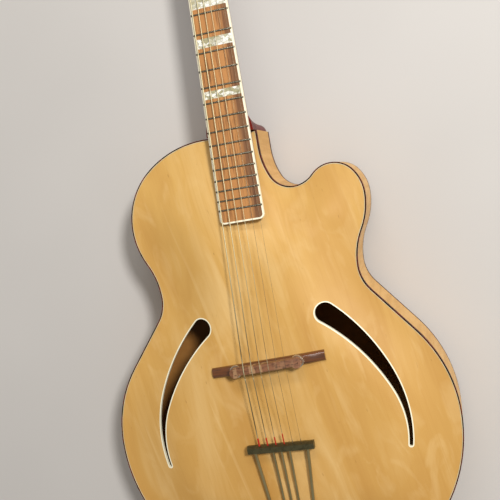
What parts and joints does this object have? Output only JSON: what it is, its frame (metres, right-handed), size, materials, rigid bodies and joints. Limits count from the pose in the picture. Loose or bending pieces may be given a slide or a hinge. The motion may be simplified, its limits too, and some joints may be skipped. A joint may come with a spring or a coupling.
{
  "type": "archtop guitar",
  "caption": "Hollow archtop guitar with a rounded cutaway, long curved sound holes, block fret markers, a raised wooden bridge and a hinged rod tailpiece.",
  "frame": {"origin": "middle of the bottom face of the bounding box, guitar lying on its back", "axes": "+X to the treble side, +Y from the tail to the head, +Z out of the top"},
  "size_m": [0.434, 1.087, 0.133],
  "materials": {
    "spruce_top": "clear gloss lacquer over carved spruce",
    "maple_body": "clear gloss lacquer over bent and carved maple",
    "inner_wood": "raw wood",
    "tortoise_binding": "scraped and polished",
    "cream_binding": "scraped and polished",
    "neck_wood": "stained and lacquered",
    "rosewood": "oiled",
    "pearl": "polished",
    "bone": "filed and polished",
    "black_overlay": "polished",
    "nickel": "nickel plate, lightly worn",
    "worn_plate": "plate worn through to dull brass",
    "rod_steel": "drawn",
    "cream_button": "moulded, polished",
    "black_knob": "turned, polished",
    "string_wire": "wound and drawn wire"
  },
  "bodies": {
    "guitar": {"top_plate": "spruce_top", "soundhole_bindings": "cream_binding", "back_plate": "maple_body", "top_binding": "tortoise_binding", "top_purfling": "cream_binding", "back_binding": "tortoise_binding", "bass_rib": "maple_body", "treble_rib": "maple_body", "neck_block": "inner_wood", "tail_block": "inner_wood", "linings": "inner_wood", "tone_bars": "inner_wood", "fretboard": "rosewood", "fretboard_binding": "cream_binding", "frets": "nickel", "fret_markers": "pearl", "nut": "bone", "neck": "neck_wood", "headstock_overlay": "black_overlay", "truss_rod": "rod_steel", "truss_rod_cover": "black_overlay", "headstock_screws": "nickel", "tuner_bushings": "nickel", "tuner_plates": "nickel", "bridge_base": "rosewood", "bridge_posts": "nickel", "hinge_pin": "nickel", "tailpiece_bracket": "nickel", "bracket_screws": "nickel", "end_pin": "black_knob", "string_1": "string_wire", "string_2": "string_wire", "string_3": "string_wire", "string_4": "string_wire", "string_5": "string_wire", "string_6": "string_wire"},
    "truss_nut": {"truss_rod_nut": "rod_steel"},
    "saddle": {"bridge_saddle": "rosewood"},
    "wheel_bass": {"thumbwheel_bass": "nickel"},
    "wheel_treble": {"thumbwheel_treble": "nickel"},
    "tailpiece": {"tailpiece_crossbar": "worn_plate", "tailpiece_rods": "worn_plate"},
    "post_1": {"string_post_1": "nickel"},
    "worm_1": {"worm_shaft_1": "nickel", "tuner_button_1": "cream_button"},
    "post_2": {"string_post_2": "nickel"},
    "worm_2": {"worm_shaft_2": "nickel", "tuner_button_2": "cream_button"},
    "post_3": {"string_post_3": "nickel"},
    "worm_3": {"worm_shaft_3": "nickel", "tuner_button_3": "cream_button"},
    "post_4": {"string_post_4": "nickel"},
    "worm_4": {"worm_shaft_4": "nickel", "tuner_button_4": "cream_button"},
    "post_5": {"string_post_5": "nickel"},
    "worm_5": {"worm_shaft_5": "nickel", "tuner_button_5": "cream_button"},
    "post_6": {"string_post_6": "nickel"},
    "worm_6": {"worm_shaft_6": "nickel", "tuner_button_6": "cream_button"}
  },
  "joints": [
    {"name": "thumbwheel_treble_turn", "type": "hinge", "parent": "saddle", "child": "wheel_treble", "pos_m": [0.03845, -0.26774, 0.1197], "axis": [0, 0, 1], "range_deg": [-720.5, 1440.5]},
    {"name": "thumbwheel_bass_turn", "type": "hinge", "parent": "saddle", "child": "wheel_bass", "pos_m": [-0.03845, -0.2715, 0.1197], "axis": [0, 0, 1], "range_deg": [-720.5, 1440.5]},
    {"name": "saddle_lift", "type": "slide", "parent": "guitar", "child": "saddle", "axis": [0, 0, 1], "range_m": [-0.0016, 0.0032], "deforming": ["string_1", "string_2", "string_3", "string_4", "string_5", "string_6"]},
    {"name": "tailpiece_swing", "type": "hinge", "parent": "guitar", "child": "tailpiece", "pos_m": [0, -0.53586, 0.099], "axis": [1, 0, 0], "range_deg": [-0.34, 0.69], "deforming": ["string_1", "string_2", "string_3", "string_4", "string_5", "string_6"]},
    {"name": "truss_nut_turn", "type": "hinge", "parent": "guitar", "child": "truss_nut", "pos_m": [0, 0.38211, 0.07171], "axis": [0, 0.9982, -0.0604], "range_deg": [-180, 180]},
    {"name": "worm_spin_1", "type": "hinge", "parent": "guitar", "child": "worm_1", "pos_m": [0.024, 0.42517, 0.04478], "axis": [1, 0, 0], "continuous": true},
    {"name": "post_spin_1", "type": "hinge", "parent": "guitar", "child": "post_1", "pos_m": [0.024, 0.42331, 0.06623], "axis": [0, 0.3, 0.9539], "continuous": true, "deforming": ["string_1"]},
    {"name": "worm_spin_2", "type": "hinge", "parent": "guitar", "child": "worm_2", "pos_m": [0.024, 0.46141, 0.03338], "axis": [1, 0, 0], "continuous": true},
    {"name": "post_spin_2", "type": "hinge", "parent": "guitar", "child": "post_2", "pos_m": [0.024, 0.45956, 0.05483], "axis": [0, 0.3, 0.9539], "continuous": true, "deforming": ["string_2"]},
    {"name": "worm_spin_3", "type": "hinge", "parent": "guitar", "child": "worm_3", "pos_m": [0.024, 0.49766, 0.02198], "axis": [1, 0, 0], "continuous": true},
    {"name": "post_spin_3", "type": "hinge", "parent": "guitar", "child": "post_3", "pos_m": [0.024, 0.49581, 0.04343], "axis": [0, 0.3, 0.9539], "continuous": true, "deforming": ["string_3"]},
    {"name": "worm_spin_4", "type": "hinge", "parent": "guitar", "child": "worm_4", "pos_m": [-0.024, 0.49766, 0.02198], "axis": [-1, 0, 0], "continuous": true},
    {"name": "post_spin_4", "type": "hinge", "parent": "guitar", "child": "post_4", "pos_m": [-0.024, 0.49581, 0.04343], "axis": [0, 0.3, 0.9539], "continuous": true, "deforming": ["string_4"]},
    {"name": "worm_spin_5", "type": "hinge", "parent": "guitar", "child": "worm_5", "pos_m": [-0.024, 0.46141, 0.03338], "axis": [-1, 0, 0], "continuous": true},
    {"name": "post_spin_5", "type": "hinge", "parent": "guitar", "child": "post_5", "pos_m": [-0.024, 0.45956, 0.05483], "axis": [0, 0.3, 0.9539], "continuous": true, "deforming": ["string_5"]},
    {"name": "worm_spin_6", "type": "hinge", "parent": "guitar", "child": "worm_6", "pos_m": [-0.024, 0.42517, 0.04478], "axis": [-1, 0, 0], "continuous": true},
    {"name": "post_spin_6", "type": "hinge", "parent": "guitar", "child": "post_6", "pos_m": [-0.024, 0.42331, 0.06623], "axis": [0, 0.3, 0.9539], "continuous": true, "deforming": ["string_6"]}
  ],
  "couplings": [
    {"joint": "thumbwheel_treble_turn", "follows": "saddle_lift", "rad_per_m": 7854},
    {"joint": "thumbwheel_bass_turn", "follows": "saddle_lift", "rad_per_m": 7854},
    {"joint": "tailpiece_swing", "follows": "saddle_lift", "rad_per_m": 3.756},
    {"joint": "post_spin_1", "follows": "worm_spin_1", "ratio": 0.071429},
    {"joint": "post_spin_2", "follows": "worm_spin_2", "ratio": 0.071429},
    {"joint": "post_spin_3", "follows": "worm_spin_3", "ratio": 0.071429},
    {"joint": "post_spin_4", "follows": "worm_spin_4", "ratio": -0.071429},
    {"joint": "post_spin_5", "follows": "worm_spin_5", "ratio": -0.071429},
    {"joint": "post_spin_6", "follows": "worm_spin_6", "ratio": -0.071429}
  ]
}
